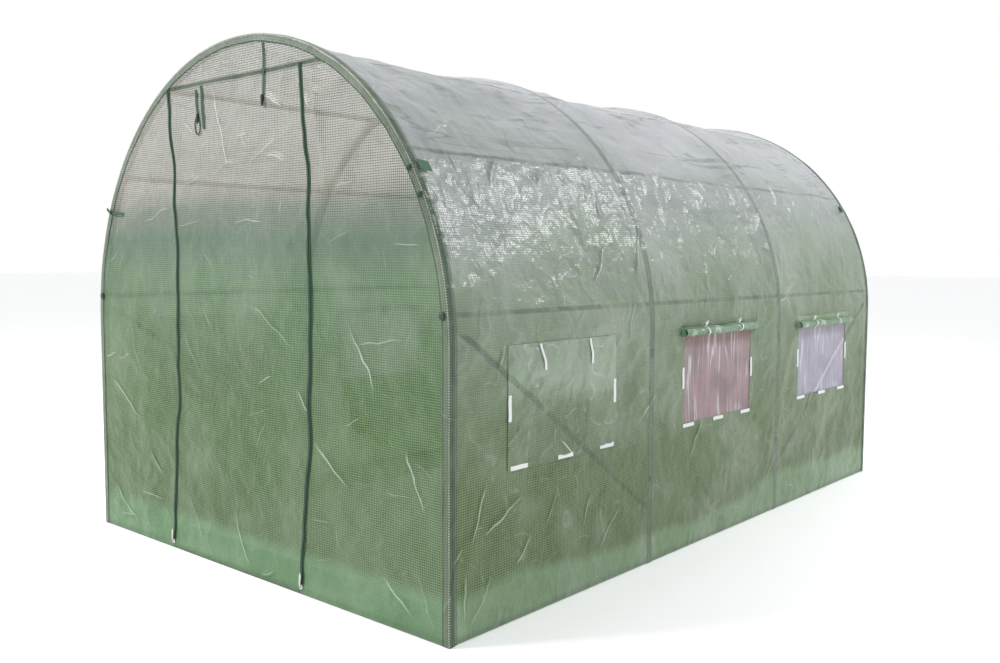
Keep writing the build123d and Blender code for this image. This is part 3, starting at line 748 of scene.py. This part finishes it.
def buildBinding(name, y, inward, node, seed):
    wall, whole = springZ, 2 * springZ + math.pi * wallX
    across = [(1, reach) for reach in (binding["side"], 0.012, 0.004)] + [(0, 0.0)]
    across += [(-1, reach) for reach in (0.006, 0.018, binding["face"])]
    places, flat = [], []
    for s in spread([0.0, wall, wall + math.pi * wallX, whole], binding["step"]):
        t, side = min(s, whole - s), 1 if s < whole / 2 else -1
        angle = min(max((t - wall) / wallX, 0), math.pi / 2)
        row = []
        for kind, reach in across:
            wobble = binding["sag"] * float(softNoise(np.array(s * 18.0), np.array(kind * 2 + reach * 40.0), seed))
            if kind > 0:      # over the cover
                radius, depth = wallX + binding["proud"] + max(wobble, -0.0005), y + inward * reach
            elif kind == 0:   # round the edge
                radius, depth = wallX + binding["proud"] - halfFilm, y - inward * 0.0006
            else:             # on the face of the end
                radius, depth = wallX - reach + wobble, y - inward * 0.0014
            z = max(min(t, wall) + radius * math.sin(angle), 0.001)
            row.append((side * radius * math.cos(angle), depth, z))
        places.append(row)
        flat.append([(s, kind * reach + 0.1) for kind, reach in across])
    flip = 1 if inward < 0 else None
    return makeSheet(name, np.array(places), np.array(flat), bindingFilm, (node,), flip=flip)


bindingFilm = filmMaterial("doubled film edge", {**endLook,
    # paler towards the top, a painted reflection of the sky
    "stops": [(0.0, 0.075, 0.11, 0.065, 0.88), (0.5, 0.07, 0.105, 0.06, 0.88), (1.0, 0.095, 0.14, 0.095, 0.92),
              (1.5, 0.17, 0.215, 0.17, 0.94), (1.9, 0.22, 0.26, 0.22, 0.94)],
    "thread": (0.20, 0.27, 0.19, 1), "threadMix": 0.5, "threadAlpha": 1.0, "threadShare": 0.4, "creaseHighlightMix": 0.12,
    "tubeShadeMix": 0.0, "stitch": (0.0985, 0.0024, 0.0078, (0.55, 0.6, 0.48, 1)),
    "hems": [(0.0745, 0.0034, (0.02, 0.05, 0.025, 1), 0.85), (0.112, 0.009, (0.035, 0.085, 0.045, 1), 0.75),
             (0.092, 0.006, (0.14, 0.14, 0.10, 1), 0.3)]})
frontBinding = buildBinding("front_edge", coverY[0] - halfFilm, 1, "front_binding", 81)
rearBinding = buildBinding("rear_edge", coverY[1] + halfFilm, -1, "rear_binding", 82)
print("bindings made")


# Frame tubes, round, in place of the plain ones of the frame
railEnd = 0.0152              # from a hoop's centre line to the end of a rail
tubeSides, railSides = 24, 20


def buildHoops():
    for name, h in zip(hoopNames, hoopY):
        arc = [(hoopR * math.cos(t), h, springZ + hoopR * math.sin(t)) for t in np.linspace(0, math.pi, 97)]
        line = [(hoopR, h, legMarks["splice"])] + arc + [(-hoopR, h, legMarks["splice"])]
        shape = newShape()
        addTube(shape, line, (0, 1, 0), hoopTube, tubeSides)
        makePiece(name + "_tube", shape, tubeCoat, (name,))
    for side, name in ((-1, "left_legs"), (1, "right_legs")):
        shape = newShape()
        for h in hoopY:
            line = [(side * hoopR, h, z) for z in (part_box(name)[0].z, 0.4, legMarks["splice"])]
            addTube(shape, line, (0, 1, 0), hoopTube, tubeSides)
        makePiece(name + "_tubes", shape, tubeCoat, (name,))


def buildRails():
    for name, angle in zip(("mid_rails", "shoulder_purlins", "upper_purlins"), purlins.values()):
        shape = newShape()
        for side in (-1, 1):
            x, z = side * hoopR * math.cos(angle), springZ + hoopR * math.sin(angle)
            for a, b in zip(hoopY, hoopY[1:]):
                line = [(x, y, z) for y in (a + railEnd, (a + b) / 2, b - railEnd)]
                addTube(shape, line, (1, 0, 0), railTube, railSides)
        makePiece(name + "_tubes", shape, tubeCoat, (name,))
    ground, header = newShape(), newShape()
    for side in (-1, 1):
        for a, b in zip(hoopY, hoopY[1:]):
            line = [(side * hoopR, y, groundZ) for y in (a + railEnd, b - railEnd)]
            addTube(ground, line, (1, 0, 0), hoopTube, tubeSides)
    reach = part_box("header_bars")[1].x
    for h in (hoopY[0], hoopY[-1]):
        line = [(x, h, groundZ) for x in (-hoopR + railEnd, hoopR - railEnd)]
        addTube(ground, line, (0, 1, 0), hoopTube, tubeSides)
        addTube(header, [(-reach, h, headerZ), (reach, h, headerZ)], (0, 1, 0), railTube, railSides)
    makePiece("ground_tubes", ground, tubeCoat, ("base_rails",))
    makePiece("header_tubes", header, tubeCoat, ("header_bars",))


buildHoops()
buildRails()
fittings = ("base_corners", "base_tees", "end_hoop_fittings", "inner_hoop_fittings", "brace_clamps")
for name in ("braces",) + fittings:
    nodes[name].data.materials.clear()
    nodes[name].data.materials.append(darkPlastic if name in fittings else tubeCoat)
print("frame tubes made")


# Door zips: a dark tape, two rows of teeth that meet, and a metal slider with its pull at the foot
zipLook = {"tape": 0.018, "thick": 0.001, "tooth": 0.0017, "toothWidth": 0.0046, "toothDeep": 0.0011,
           "toothApart": 0.0013, "toothProud": 0.0014, "pitch": 0.0034, "foot": 0.028, "proud": 0.0022}
square = ((-1, -1), (1, -1), (1, 1), (-1, 1))


def frontPoint(x, z, proud):
    # a point in front of the door end's film
    return Vector((float(x), frontY - proud - float(endLift(np.array(x), np.array(z))), z))


def buildZips():
    tape, teeth = newShape(), newShape()
    pitch, foot = zipLook["pitch"], zipLook["foot"]
    w, d, h = zipLook["toothWidth"] / 2, zipLook["toothDeep"], zipLook["tooth"] / 2
    for side in (-1, 1):
        def centre(z):
            return frontPoint(side * doorHalf + doorDrift(z), z, zipLook["proud"])
        line = [centre(z) for z in np.linspace(foot, headerZ, 120)]
        addRibbon(tape, line, (1, 0, 0), zipLook["tape"], zipLook["thick"])
        for k in range(int((headerZ - foot) / pitch)):
            p = centre(foot + (k + 0.5) * pitch)
            for hand in (-1, 1):
                c = p + Vector((hand * zipLook["toothApart"], -zipLook["toothProud"], hand * pitch / 4))
                addRings(teeth, [[c + Vector((a * w, -d * lift, b * h)) for a, b in square] for lift in (-1, 1)])
    makePiece("zip_tapes", tape, zipTape, ("door_zips",))
    makePiece("zip_teeth", teeth, zipTeeth, rounded=False)


buildZips()
print("zips made")


# Windows: insect net behind each hole, one flap let down and two rolled up on each side
windowLook = {"flapEdge": 0.015, "net": 0.0022, "rollRadius": 0.0165, "rollTurns": 5, "rollCore": 0.006,
              "rollHalf": 0.300, "tieWidth": 0.010, "tieGap": 0.135, "drops": (0.0, 0.002, 0.024),
              "stripLong": 0.080, "stripWide": 0.014, "tape": 0.0008}
flapEdge = windowLook["flapEdge"]
flapX = wallX + 0.0012        # the film's outer face
rollX = flapX + windowLook["rollRadius"]
flapSeed = 91


def netMaterial(name, color, deep, top):
    material, tree, shader = newMaterial(name)
    flat, place = flatCut(tree), objectPlace(tree)
    weave = useGroup(tree, threads, Vector=flat, Pitch=windowLook["net"], Thread=0.5)
    shades = blendColors(tree, ease(tree, cloudy(tree, flat, 9.0), 0.35, 0.7), color, deep)
    underHem = ease(tree, axes(tree, flat)[1], windowHigh - 0.09, windowHigh - 0.02, 0.0, 0.8)
    shades = blendColors(tree, underHem, shades, top)
    pleats = apart(tree, cloudy(tree, mapped(tree, flat, 0.12, (30, 1.6, 1)), 1.0, 1.0), 0.5)
    # painted highlights along the pleats
    shades = tint(tree, shades, fadeOut(tree, pleats, 0.0, 0.035),
                  ease(tree, cloudy(tree, flat, 6.0, 1.0), 0.38, 0.55, 0.1, 0.8), (0.72, 0.70, 0.74, 1))
    # a pale painted sheen where the brace lies behind the net
    tubeSheen = useGroup(tree, tubeShade, Vector=place)["Shade"]
    shades = tint(tree, shades, tubeSheen, 0.75, (0.66, 0.60, 0.70, 1))
    feed(tree, shader, {"Base Color": shades, "Roughness": 0.6,
                        "Alpha": plus(tree, 0.66, times(tree, weave["Threads"], 0.28))})
    bumpInto(tree, shader, plus(tree, times(tree, weave["Height"], 0.1), times(tree, pleats, -1.5)), 0.4, 0.006)
    return material


netWarm = netMaterial("warm insect net", (0.41, 0.28, 0.315, 1), (0.29, 0.205, 0.22, 1), (0.27, 0.13, 0.125, 1))
netCool = netMaterial("pale insect net", (0.45, 0.41, 0.52, 1), (0.36, 0.34, 0.42, 1), (0.40, 0.32, 0.38, 1))
flapFilm = filmMaterial("film of the let-down flap", {**coverLook,
    # a lighter band across the top of the flap is a painted sheen
    "stops": [(0.0, 0.095, 0.15, 0.08, 0.82), (0.66, 0.10, 0.155, 0.085, 0.82), (0.74, 0.29, 0.37, 0.30, 0.86),
              (1.0, 0.29, 0.36, 0.30, 0.86)],
    "uneven": 0.14, "creaseHighlightMix": 0.7, "tubeShadeMix": 0.4, "turns": (2.3, 0.7, 1.6), "crumple": 1.8})
rollFilm = filmMaterial("film of the rolls", {**coverLook,
    # lighter over the top of the roll: painted light from above
    "stops": [(0.0, 0.08, 0.18, 0.08, 0.98), (0.83, 0.085, 0.19, 0.085, 0.98), (0.86, 0.14, 0.26, 0.14, 0.98)],
    "uneven": 0.03, "thread": (0.24, 0.38, 0.24, 1), "threadAlpha": 1.0, "tubeShadeMix": 0.0, "creaseHighlightMix": 0.45,
    "veins": 0.9, "crumple": 2.0})


def windowGrid(edge, columns, rows):
    u = np.linspace(-windowHalf - edge, windowHalf + edge, columns)
    return np.meshgrid(u, np.linspace(windowLow - edge, windowHigh + edge, rows), indexing="ij")


def addNet(name, side, y0, seed, material, node):
    u, z = windowGrid(netSeam, 70, 44)
    inside = np.minimum(windowHalf + 0.008 - np.abs(u), np.minimum(z - windowLow + 0.01, windowHigh + 0.01 - z))
    hang = 1 - 0.5 * (z - windowLow) / (windowHigh - windowLow)
    pleat = 0.007 * softNoise(u * 26 + 3 * softNoise(z * 3, u * 2, seed), z * 1.6, seed + 1)
    pleat = pleat + 0.003 * softNoise(u * 55, z * 3, seed + 2)
    depth = smooth(inside, 0, 0.05) * (0.0018 * hang + np.minimum(np.abs(pleat) * 0.6, 0.0038))
    places = np.stack([side * (netHigh.x - halfFilm - depth), y0 + u, z], -1)
    flip = 0 if side < 0 else None
    return makeSheet(name, places, np.stack([u + 1, z], -1), material, (node,), flip=flip)


def flapLift(u, z, seed=flapSeed):
    out = 0.0006 + 0.006 * np.abs(softNoise(u * 5 + z * 4, z * 5, seed))
    out = out + 0.003 * np.abs(softNoise(u * 16, z * 9, seed + 1))
    corners = [(a, b) for b in (windowHigh, windowLow) for a in (-0.27, 0.27)]
    corners += [(0.05, windowLow), (-0.12, 0.74)]
    out += np.abs(foldsInto(u, z, fanOfFolds(corners, 9, (0.08, 0.3), seed + 2, 0.005)))
    toEdge = np.minimum(windowHalf + flapEdge - np.abs(u), z - windowLow + flapEdge)
    return 0.0012 + out * (smooth(windowHigh + 0.01 - z, 0, 0.06) * smooth(toEdge, -0.005, 0.03))


def addFlap(name, side, y0, node):
    u, z = windowGrid(flapEdge, 84, 56)
    places = np.stack([side * (flapX + flapLift(u, z)), y0 + u, z], -1)
    flip = 0 if side < 0 else None
    return makeSheet(name, places, np.stack([z, u + 2], -1), flapFilm, (node,), flip=flip)


def addRoll(name, side, y0, drop, seed, node):
    # the film hangs from the seam over the hole and goes into a spiral, loosest at its outside
    turns, steps, outer = windowLook["rollTurns"], 22, windowLook["rollRadius"]
    t = np.concatenate([np.zeros(5), np.linspace(0, 1, turns * steps + 1)])
    hang = (drop + netSeam) * np.concatenate([np.linspace(1, 0.2, 5), np.zeros(turns * steps + 1)])[:, None]
    t, u = np.meshgrid(t, np.linspace(-windowLook["rollHalf"], windowLook["rollHalf"], 46), indexing="ij")
    pinch = sum(np.exp(-((u - s * windowLook["tieGap"]) / 0.02) ** 2) for s in (-1, 1))
    radius = (outer + (windowLook["rollCore"] - outer) * t) * (1 - 0.12 * pinch)
    radius *= 1 + 0.05 * softNoise(t * turns * 3, u * 16, seed) * (1 - t * 0.5)
    turn = math.pi + 2 * math.pi * turns * t
    slide = u + 0.006 * softNoise(t * 9, np.zeros_like(t), seed + 1) * np.sign(u) * smooth(np.abs(u), 0.2, 0.3)
    z = windowHigh - drop + 0.002 * softNoise(u * 7, np.zeros_like(u), seed + 2) + radius * np.sin(turn) + hang
    places = np.stack([side * (rollX + radius * np.cos(turn)), y0 + slide, z], -1)
    flat = np.stack([t * 2 * math.pi * turns * 0.0095 - hang, u + 1], -1)
    made = makeSheet(name, places, flat, rollFilm, (node,), flip=0 if side > 0 else None)
    made.data.materials.append(filmCover)
    for face in made.data.polygons:     # one layer over the roll shows the wall's own colour
        face.material_index = int(face.center.z > windowHigh - drop + outer + 0.0005)
    return made


def addTies(shape, side, y0, rolled, drop, seed):
    rng = np.random.default_rng(seed)
    wide, thick = windowLook["tieWidth"], windowLook["tape"]
    r, top = windowLook["rollRadius"] * 0.9 + 0.001, windowHigh - drop
    for s in (-1, 1):
        y = y0 + s * windowLook["tieGap"]
        if rolled:
            lean = rng.uniform(-0.012, 0.012)
            loop = [(side * (rollX + r * math.cos(t)), y + lean * math.sin(t), windowHigh + r * math.sin(t) - drop)
                    for t in np.linspace(math.pi * 0.98, -math.pi * 0.98, 36)]
            addRibbon(shape, loop, (0, 1, 0), wide, thick)
            for turn, reach in ((rng.uniform(0.2, 0.5), 0.024), (rng.uniform(-0.6, -0.2), 0.018)):
                start = Vector((side * (rollX - 0.004), y, top + r + 0.001))
                end = start + Vector((side * 0.004, reach * math.sin(turn), reach * math.cos(turn)))
                bend = start.lerp(end, 0.5) + Vector((side * 0.003, 0, 0))
                addRibbon(shape, [start, bend, end], (0, 1, 0), 0.008, thick)
        else:
            line = []
            for t in np.linspace(0, 1, 14):
                z = windowHigh + 0.012 - 0.082 * t
                lift = float(flapLift(np.array(s * windowLook["tieGap"]), np.array(min(z, windowHigh))))
                across = y + s * -0.004 + (0.016 if s < 0 else 0.004) * t
                line.append((side * (flapX + lift + 0.0018 + 0.002 * math.sin(t * 3)), across, z))
            addRibbon(shape, line, (0, 1, 0), wide, thick)


def addStrips(shape, side, y0, shut):
    long, wide = windowLook["stripLong"], windowLook["stripWide"]
    edgeY, edgeZ = windowHalf + flapEdge - wide / 2, windowLow - flapEdge + wide / 2
    along = np.linspace(-long / 2, long / 2, 7)

    def out(u, z):
        lift = float(flapLift(np.array(u), np.array(z))) + 0.0008 if shut else 0
        return side * (wallX + 0.0014 + 0.0006 * math.sin((u + z) * 90) + lift)

    for s in (-1, 1):
        zs = along + (windowLow + windowHigh) / 2
        addRibbon(shape, [(out(s * edgeY, z), y0 + s * edgeY, z) for z in zs], (0, 1, 0), wide, 0.001)
    for s in (-1, 0, 1):
        us = along + s * (windowHalf - 0.036)
        addRibbon(shape, [(out(u, edgeZ), y0 + u, edgeZ) for u in us], (0, 0, 1), wide, 0.001)


def buildWindows():
    nets, flaps, rolls = [], [], []
    ties, strips = newShape(), newShape()
    for side, word in ((-1, "left"), (1, "right")):
        more, flapNode = 10 * (side > 0), word + "_window_flaps"
        for k, y0 in enumerate(windowY):
            drop = windowLook["drops"][k]
            nets.append(addNet(f"{word}_net_{k + 1}", side, y0, 101 + k + more, netCool if k == 2 else netWarm,
                               word + "_window_meshes"))
            addTies(ties, side, y0, k > 0, drop, 131 + k)
            addStrips(strips, side, y0, k == 0)
            if k:
                rolls.append(addRoll(f"{word}_roll_{k + 1}", side, y0, drop, 151 + k + more, flapNode))
            else:
                flaps.append(addFlap(word + "_flap", side, y0, flapNode))
    tiePiece = makePiece("white_ties", ties, whiteTape, ("window_ties",))
    stripPiece = makePiece("hook_and_loop_strips", strips, whiteTape, ("window_strips",))
    return tiePiece, stripPiece


tiePiece, stripPiece = buildWindows()
print("windows made")


# Straps and toggles for the rolled-up door, zip pulls, hoop ties and the small fittings of the legs
strapLook = {
    "width": 0.014, "thickness": 0.0012, "toggle": (0.036, 0.005), "ring": (-0.252, 0.145, 0.016, 0.032, 0.003),
    "rows": [(0.149, 0.090, 0.190, 1), (-0.252, -0.02, 0.105, 1), (-0.212, -0.01, 0.150, 0)],
    "profile": [(-0.5, 0.55), (-0.46, 0.85), (-0.2, 1.0), (0.0, 0.82), (0.2, 1.0), (0.46, 0.85), (0.5, 0.55)]}
pullLook = {      # slider and bridge: foot, top, half width, depth; pull: half width at each height
    "bodies": ((0.018, 0.034, 0.0075, 0.0045), (0.022, 0.030, 0.0025, 0.0075)), "thick": 0.0009,
    "pull": [(0.0022, 0.030), (0.0036, 0.037), (0.0042, 0.050), (0.0048, 0.062), (0.0040, 0.070), (0.0020, 0.073)]}
hoopTieLook = {"places": ((31.5, 0.040), (26.3, 0.0), (154.0, 0.0)), "inset": 0.012, "tabWide": 0.034,
               "knot": [(-0.011, 0.003), (-0.008, 0.0065), (-0.001, 0.0075), (0.006, 0.006), (0.010, 0.003)],
               "knob": [(0.0005, 0.012), (0.003, 0.0125), (0.0065, 0.0115), (0.0085, 0.008), (0.0095, 0.003)]}
legLook = {"sleeve": [(-0.5, 0.0004), (-0.42, 0.0012), (0.42, 0.0012), (0.5, 0.0004)],     # along, proud
           "splice": 0.036, "band": 0.014, "bolt": ((-0.0062, -0.0032, 0.005), (0.0032, 0.0062, 0.0055))}


def buildStraps():
    straps, toggles = newShape(), newShape()
    long, radius = strapLook["toggle"]
    for x, rise, length, hasToggle in strapLook["rows"]:      # rise over the header bar
        lean, high = 0.006 * (1 if x < -0.23 else -0.4), headerZ + rise
        line = [frontPoint(x + lean * t, high - length * t, halfFilm + 0.0018 + 0.002 * math.sin(math.pi * t))
                for t in np.linspace(0, 1, 16)]
        wide = strapLook["width"] * (0.8 if hasToggle else 1)
        addRibbon(straps, line, (1, 0, 0), wide, strapLook["thickness"])
        if hasToggle:
            centre = line[-1] + Vector((0, -0.0055, 0.004))
            body = [centre + Vector((0, 0, t * long)) for t, _ in strapLook["profile"]]
            addTube(toggles, body, (0, 1, 0), [radius * r for _, r in strapLook["profile"]], 16)
    x, drop, wide, high, cord = strapLook["ring"]
    ring = [frontPoint(x + wide * math.sin(t), headerZ - drop + high * math.cos(t), halfFilm + cord)
            for t in np.linspace(0, 2 * math.pi, 25)]
    addRibbon(straps, ring, (0, 1, 0), cord, cord)
    makePiece("door_strap_bands", straps, strapCloth, ("door_straps",))
    makePiece("toggles", toggles, darkPlastic, ("strap_toggles",))


def buildPulls():
    shape = newShape()
    for side in (-1, 1):
        x = side * doorHalf + float(doorDrift(np.array(0.03)))
        p = frontPoint(x, 0.03, halfFilm + 0.0012)
        for low, high, w, d in pullLook["bodies"]:
            ring = [(-w, 0), (-w * 0.7, -d), (w * 0.7, -d), (w, 0)]
            levels = ((low, 0.85), ((low + high) / 2, 1.0), (high, 0.8))
            addRings(shape, [[Vector((p.x + a * f, p.y + b * f, z)) for a, b in ring] for z, f in levels])
        p = frontPoint(x, 0.04, halfFilm + 0.0095)
        thick = pullLook["thick"]
        addRings(shape, [[Vector((p.x + a * w + 0.1 * (z - 0.03), p.y - b * thick, z)) for a, b in square]
                         for w, z in pullLook["pull"]])
    makePiece("zip_sliders", shape, brightMetal, ("zip_pulls",), bevel=0.0004)


def buildHoopTies():
    # cords that tie the film to the end hoops, some with a flat tab, and the knob ends of the mid rails
    bands, knobs, tabs = newShape(), newShape(), newShape()
    for h, faceY, outward in ((hoopY[0], frontY, -1), (hoopY[-1], rearY, 1)):
        back = Vector((0, outward, 0))
        for degrees, tab in hoopTieLook["places"]:
            angle = math.radians(degrees)
            along = Vector((-math.sin(angle), 0, math.cos(angle)))
            out = Vector((math.cos(angle), 0, math.sin(angle)))
            face = Vector((0, faceY + outward * 0.004, springZ)) + out * (wallX - hoopTieLook["inset"])
            knot = [face + out * d for d, _ in hoopTieLook["knot"]]
            addTube(bands, knot, along, [r for _, r in hoopTieLook["knot"]], 14)
            if tab:
                start = Vector((0, h - outward * 0.004, springZ)) + out * (wallX + 0.003)
                flag = [start - back * tab * t + out * (0.002 + 0.004 * t) - along * 0.010 * t
                        for t in (0.0, 0.35, 0.7, 1.0)]
                addRibbon(tabs, flag, along, hoopTieLook["tabWide"], 0.0012)
            if degrees > 150:
                end = [face + out * 0.012 + back * 0.002, face + out * 0.020 + back * 0.001, face + out * 0.030]
                addRibbon(bands, end, along, 0.009, 0.003)
                tail = [face - back * 0.001 + Vector((0.014 + 0.086 * t, outward * 0.002 * math.sin(3 * t),
                                                      -0.004 - 0.006 * t)) for t in np.linspace(0, 1, 8)]
                addRibbon(bands, tail, (0, 0, 1), 0.011, 0.0012)
        for side in (-1, 1):
            x = side * hoopR * math.cos(purlins["mid"]) - side * 0.006
            z = springZ + hoopR * math.sin(purlins["mid"])
            line = [(x, faceY + outward * d, z) for d, _ in hoopTieLook["knob"]]
            addTube(knobs, line, (1, 0, 0), [r for _, r in hoopTieLook["knob"]], 20)
    makePiece("hoop_ties", bands, strapCloth)
    makePiece("hoop_tie_tabs", tabs, tabCloth)
    makePiece("rail_end_caps", knobs, darkPlastic)


def buildLegFittings():
    rings, bands, bolts = newShape(), newShape(), newShape()
    sleeve = legLook["sleeve"]
    top, foot, aside = brace["top"], brace["foot"], brace["aside"]
    for side in (-1, 1):
        for h in hoopY:
            for shape, mark in ((rings, "splice"), (bands, "band")):
                line = [(side * hoopR, h, legMarks[mark] + t * legLook[mark]) for t, _ in sleeve]
                addTube(shape, line, (0, 1, 0), [hoopTube + r for _, r in sleeve], 24)
        for h, z, reach in ((hoopY[0], top, 1), (hoopY[1], foot, -1), (hoopY[-2], foot, 1), (hoopY[-1], top, -1)):
            place = Vector((side * hoopR, h + reach * aside, z))
            for x0, x1, r in legLook["bolt"]:
                line = [place + Vector((side * x, 0, 0)) for x in (x0, x1)]
                addTube(bolts, line, (0, 1, 0), r, 6)
    makePiece("leg_splices", rings, darkPlastic)
    makePiece("leg_bands", bands, whiteTape)
    makePiece("brace_bolt_heads", bolts, brightMetal, rounded=False)


buildStraps()
buildPulls()
buildHoopTies()
buildLegFittings()
print("straps, ties and small fittings made")


# Stage: a pale floor and soft light
stage = {"floor": (0.93, 0.93, 0.93, 1), "floorGlow": 0.26, "floorHalf": 60, "sky": (1.0, 1.0, 1.0, 1),
         "skyDim": (0.36, 0.38, 0.40, 1), "dimSide": (0.656, -0.754, 0.0), "key": 400, "fill": 150}


def addArea(name, place, aim, size, power, color=(1, 1, 1)):
    data = bpy.data.lights.new(name, "AREA")
    data.energy, data.size, data.color = power, size, color
    lamp = addObject(name, data)
    lamp.location = place
    lamp.rotation_euler = (Vector(aim) - Vector(place)).to_track_quat("-Z", "Y").to_euler()


def addStage():
    mesh = bpy.data.meshes.new("floor")
    mesh.from_pydata([(stage["floorHalf"] * a, stage["floorHalf"] * b, 0) for a, b in square], [], [(0, 1, 2, 3)])
    floor = addObject("floor", mesh)
    floor.location.z = -0.0005
    pale = plainMaterial("pale floor", stage["floor"], 0.8, 0, 4, 0.015, 0.0001)
    feed(pale.node_tree, pale.node_tree.nodes["Principled BSDF"],
         {"Emission Color": stage["floor"], "Emission Strength": stage["floorGlow"]})
    mesh.materials.append(pale)
    world = bpy.data.worlds.new("soft sky")
    bpy.context.scene.world = world
    world.use_nodes = True
    tree = world.node_tree
    toward = put(tree, "ShaderNodeVectorMath", {0: put(tree, "ShaderNodeTexCoord").outputs["Generated"],
                                                1: stage["dimSide"]}, operation="DOT_PRODUCT").outputs["Value"]
    sky = blendColors(tree, ease(tree, toward, -0.35, 0.6), stage["sky"], stage["skyDim"])
    feed(tree, tree.nodes["Background"], {0: sky})
    addArea("key light", (-2.5, -5.0, 5.5), (0, 0, 0.9), 2.0, stage["key"], (1, 0.98, 0.95))
    addArea("side light", (3.6, 3.6, 4.6), (0.9, 0.2, 0.9), 1.2, stage["fill"])
    bpy.context.scene.view_settings.view_transform = "Standard"


addStage()
print("stage made")
